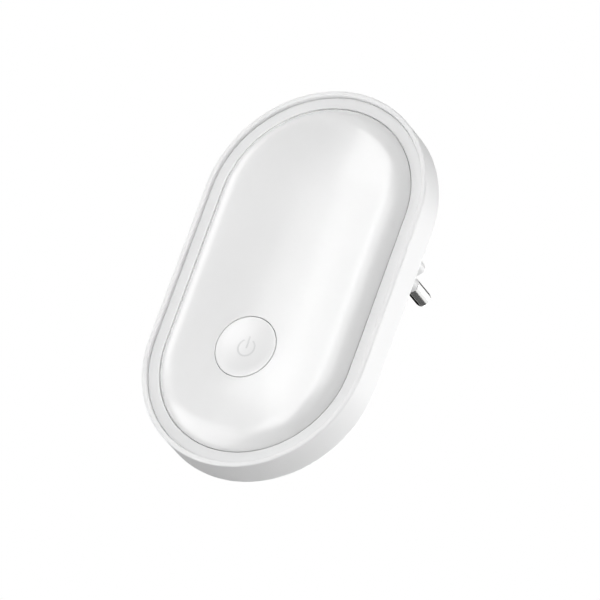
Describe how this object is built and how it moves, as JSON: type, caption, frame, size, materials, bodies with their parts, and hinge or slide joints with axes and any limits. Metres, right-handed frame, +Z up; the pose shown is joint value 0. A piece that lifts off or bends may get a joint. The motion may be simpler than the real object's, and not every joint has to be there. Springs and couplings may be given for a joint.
{
  "type": "plug in night light",
  "caption": "Stadium-shaped plug in night light: straight-walled housing, recessed ring, pillow-shaped opal dome, round push button low on the front, and a two-pin plug boss behind.",
  "frame": {"origin": "middle of the plug boss's flat end face, halfway between the two pins", "axes": "+Z up along the lamp's length, +Y out of the plug's end face along the pins into the wall, -Y out of the lamp's domed front, +X to the right as the front is looked at"},
  "size_m": [0.0584, 0.0568, 0.1],
  "materials": {
    "housing_white": "satin moulded white",
    "ring_white": "frosted translucent white",
    "dome_opal": "glossy milky opal",
    "button_white": "satin moulded white",
    "symbol_grey": "printed light grey",
    "tray_white": "matt white reflector",
    "board_white": "white solder mask",
    "led_chip": "yellow phosphor",
    "screw_steel": "zinc plated",
    "sheet_grey": "insulating film",
    "switch_black": "moulded black",
    "switch_steel": "stamped steel",
    "carrier_white": "heat-proof white",
    "pin_nickel": "polished nickel plate",
    "sleeve_grey": "moulded light grey",
    "board_green": "green solder mask",
    "capacitor_yellow": "boxed film capacitor",
    "chip_black": "moulded black",
    "can_black": "sleeved can",
    "resistor_green": "lacquered",
    "resistor_blue": "lacquered",
    "header_black": "moulded black",
    "wire_brown": "insulated lead",
    "wire_blue": "insulated lead"
  },
  "bodies": {
    "lamp": {"rear_housing": "housing_white", "halo_ring": "ring_white", "diffuser_dome": "dome_opal", "reflector_tray": "tray_white", "led_board": "board_white", "leds": "led_chip", "board_screws": "screw_steel", "insulating_sheet": "sheet_grey", "tact_switch_base": "switch_black", "tact_switch_cover": "switch_steel", "pin_carrier": "carrier_white", "plug_pin_left": "pin_nickel", "plug_pin_right": "pin_nickel", "pin_sleeve_left": "sleeve_grey", "pin_sleeve_right": "sleeve_grey", "driver_board": "board_green", "film_capacitor": "capacitor_yellow", "bridge_rectifier": "chip_black", "control_chip": "chip_black", "electrolytic_capacitor": "can_black", "fusible_resistor": "resistor_green", "bleed_resistor": "resistor_blue", "board_header": "header_black", "lead_live": "wire_brown", "lead_neutral": "wire_blue"},
    "button": {"power_button": "button_white", "power_symbol": "symbol_grey"},
    "switch_plunger": {"tact_switch_plunger": "switch_black"}
  },
  "joints": [
    {"name": "button_press", "type": "slide", "parent": "lamp", "child": "button", "axis": [0, 1, 0], "range_m": [0, 0.0005], "stiffness_N_per_m": 2500, "springref_m": -0.0003},
    {"name": "plunger_travel", "type": "slide", "parent": "lamp", "child": "switch_plunger", "axis": [0, 1, 0], "range_m": [0, 0.0005]}
  ],
  "couplings": [
    {"joint": "plunger_travel", "follows": "button_press", "ratio": 1}
  ]
}
